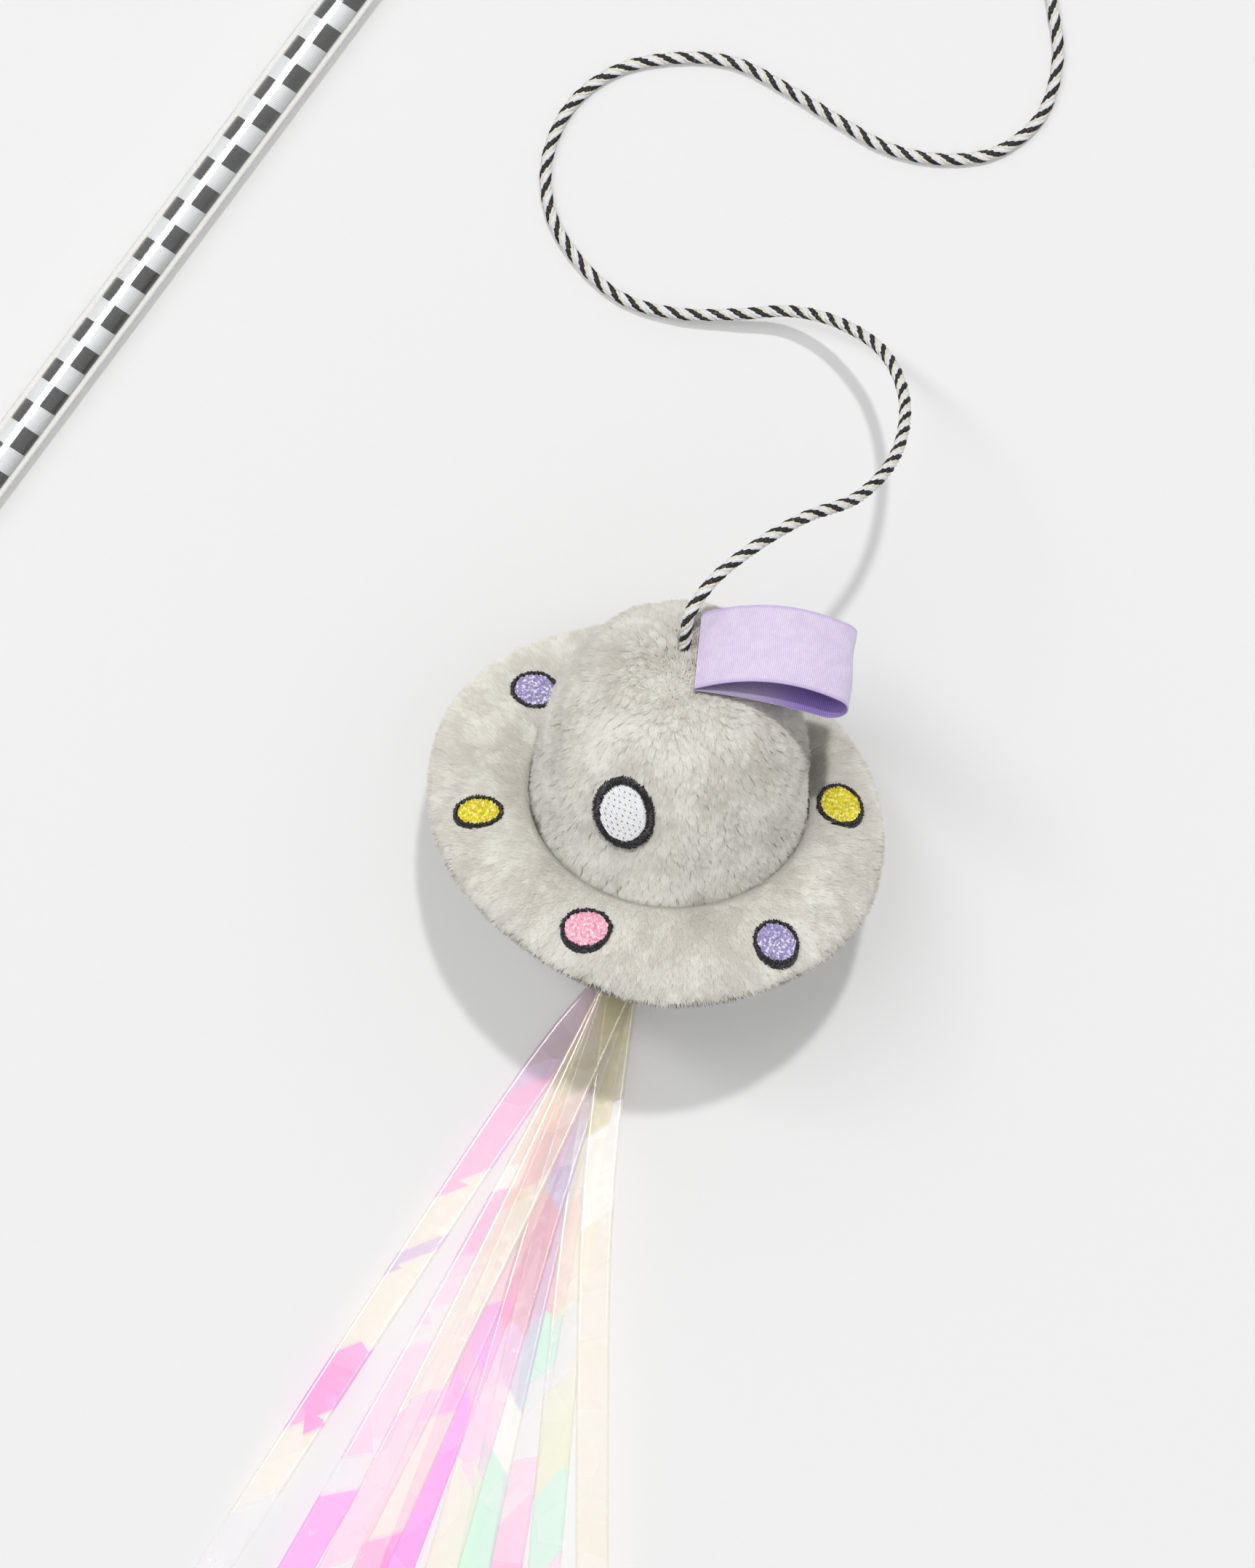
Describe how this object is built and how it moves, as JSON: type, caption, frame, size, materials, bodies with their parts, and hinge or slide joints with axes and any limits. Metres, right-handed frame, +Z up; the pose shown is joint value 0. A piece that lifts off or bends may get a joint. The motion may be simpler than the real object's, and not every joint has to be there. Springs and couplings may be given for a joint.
{
  "type": "cat teaser wand",
  "caption": "Cat teaser wand: clear tube with a checked ribbon inside, a braided cord, and a plush saucer toy with a ribbon tag and iridescent film streamers.",
  "frame": {"origin": "on the floor under the middle of the box round the wand, toy and streamers, without the cord", "axes": "+X along the wand towards the tip that holds the cord, +Y from the toy towards the wand, +Z up from the floor that the wand lies on"},
  "size_m": [0.4357, 0.2398, 0.0795],
  "materials": {
    "clear_tube": "clear extruded plastic tube, glossy, faintly cream at its edges",
    "check_weave": "twill ribbon woven in charcoal and white checks",
    "black_plug": "moulded black plug, satin",
    "braided_cord": "black and white yarns laid in one spiral band each",
    "grey_plush": "short-pile warm grey plush",
    "polyester_wadding": "loose polyester fibre filling",
    "white_thread": "satin embroidery thread",
    "black_thread": "satin embroidery thread",
    "yellow_thread": "satin embroidery thread",
    "lilac_thread": "satin embroidery thread",
    "pink_thread": "satin embroidery thread",
    "lilac_ribbon": "woven label ribbon, plain, darker on its inner side",
    "iridescent_film": "thin translucent film with pink, cream and green interference colours"
  },
  "bodies": {
    "wand": {"wand_tube": "clear_tube", "check_ribbon": "check_weave", "tip_plug": "black_plug", "tip_knot": "braided_cord", "butt_plug": "black_plug"},
    "cord": {"cord_tip_run": "braided_cord", "cord_coil": "braided_cord", "cord_toy_run": "braided_cord"},
    "toy": {"dome_gore_1": "grey_plush", "dome_gore_2": "grey_plush", "dome_gore_3": "grey_plush", "dome_gore_4": "grey_plush", "belly_gore_1": "grey_plush", "belly_gore_2": "grey_plush", "belly_gore_3": "grey_plush", "belly_gore_4": "grey_plush", "brim_top_panel": "grey_plush", "brim_under_panel": "grey_plush", "brim_padding": "polyester_wadding", "window_fill": "white_thread", "window_outline": "black_thread", "dot_fill_1": "yellow_thread", "dot_fill_2": "lilac_thread", "dot_fill_3": "pink_thread", "dot_fill_4": "yellow_thread", "dot_fill_5": "lilac_thread", "dot_fill_6": "pink_thread", "dot_outline_1": "black_thread", "dot_outline_2": "black_thread", "dot_outline_3": "black_thread", "dot_outline_4": "black_thread", "dot_outline_5": "black_thread", "dot_outline_6": "black_thread", "body_filling": "polyester_wadding", "cord_anchor": "braided_cord", "streamer_tack": "white_thread"},
    "tag": {"ribbon_tag": "lilac_ribbon"},
    "streamers": {"streamer_binding": "white_thread", "streamer_1": "iridescent_film", "streamer_2": "iridescent_film", "streamer_3": "iridescent_film", "streamer_4": "iridescent_film", "streamer_5": "iridescent_film", "streamer_6": "iridescent_film", "streamer_7": "iridescent_film", "streamer_8": "iridescent_film", "streamer_9": "iridescent_film", "streamer_10": "iridescent_film"}
  },
  "joints": [
    {"name": "cord_swing", "type": "hinge", "parent": "wand", "child": "cord", "pos_m": [0.2107, 0.11536, 0.0045], "axis": [0, 0, 1], "range_deg": [-8, 35]},
    {"name": "toy_swing", "type": "hinge", "parent": "cord", "child": "toy", "pos_m": [0.02115, -0.00925, 0.07002], "axis": [0, 0, 1], "range_deg": [-15, 15]},
    {"name": "tag_flap", "type": "hinge", "parent": "toy", "child": "tag", "pos_m": [0.02136, -0.01216, 0.07063], "axis": [-0.7347, -0.4415, 0.515], "range_deg": [-2, 25]},
    {"name": "streamers_swing", "type": "hinge", "parent": "toy", "child": "streamers", "pos_m": [-0.02727, -0.03676, 0.003], "axis": [0, 0, 1], "range_deg": [-10, 20]}
  ]
}
